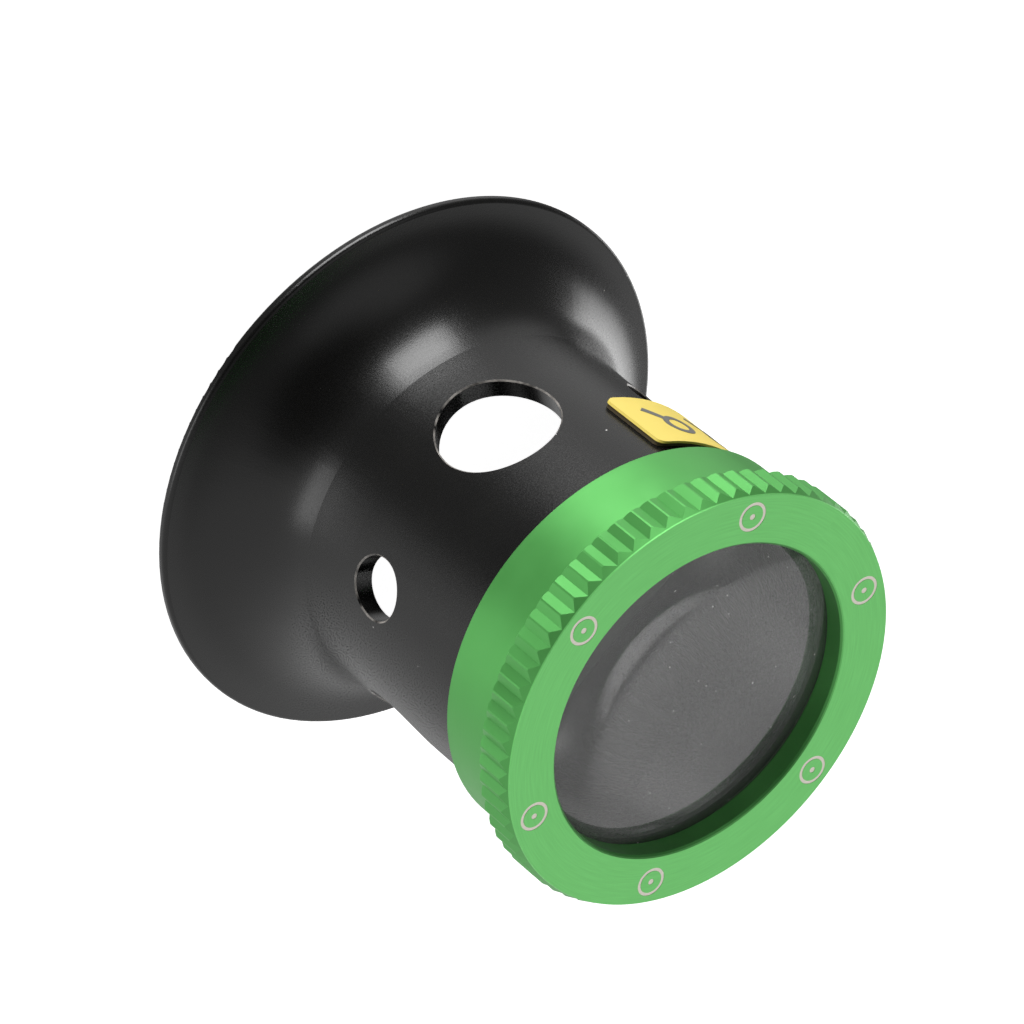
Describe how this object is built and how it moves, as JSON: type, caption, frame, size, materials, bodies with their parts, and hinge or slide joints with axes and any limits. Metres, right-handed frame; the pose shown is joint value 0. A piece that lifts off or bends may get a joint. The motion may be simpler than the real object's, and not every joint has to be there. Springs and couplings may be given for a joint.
{
  "type": "eye loupe",
  "caption": "Watchmaker's eye loupe: trumpet eyecup with vent holes, and a knurled screw-on bezel that holds a round magnifying lens.",
  "frame": {"origin": "centre of the eyecup rim's plane, which is the surface that the loupe stands on", "axes": "+Z along the optical axis, from the eyecup to the lens; a large vent hole faces +X and the label faces -X"},
  "size_m": [0.05, 0.05, 0.0414],
  "materials": {
    "black_anodised": "satin black anodised, fine bead-blasted grain",
    "green_anodised": "satin green anodised, fine turning lines",
    "lens_glass": "polished optical glass",
    "gasket_rubber": "matt black rubber",
    "retainer_black": "black anodised",
    "label_adhesive": "dark foam adhesive",
    "label_film": "satin yellow printed film",
    "label_ink": "dark grey print",
    "mark_paint": "pale paint fill"
  },
  "bodies": {
    "eyecup": {"eyecup_shell": "black_anodised", "label_pad": "label_adhesive", "label_plate": "label_film", "label_pictogram": "label_ink"},
    "lens_stack": {"magnifier_lens": "lens_glass", "lens_gasket": "gasket_rubber"},
    "bezel": {"lens_bezel": "green_anodised", "lens_retaining_ring": "retainer_black", "index_mark_inlays": "mark_paint"}
  },
  "joints": [
    {"name": "bezel_lift", "type": "slide", "parent": "eyecup", "child": "lens_stack", "axis": [0, 0, 1], "range_m": [0, 0.003]},
    {"name": "bezel_turn", "type": "hinge", "parent": "lens_stack", "child": "bezel", "pos_m": [0, 0, 0.0362], "axis": [0, 0, 1], "range_deg": [0, 1440]}
  ],
  "couplings": [
    {"joint": "bezel_lift", "follows": "bezel_turn", "m_per_rad": 0.00011937}
  ]
}
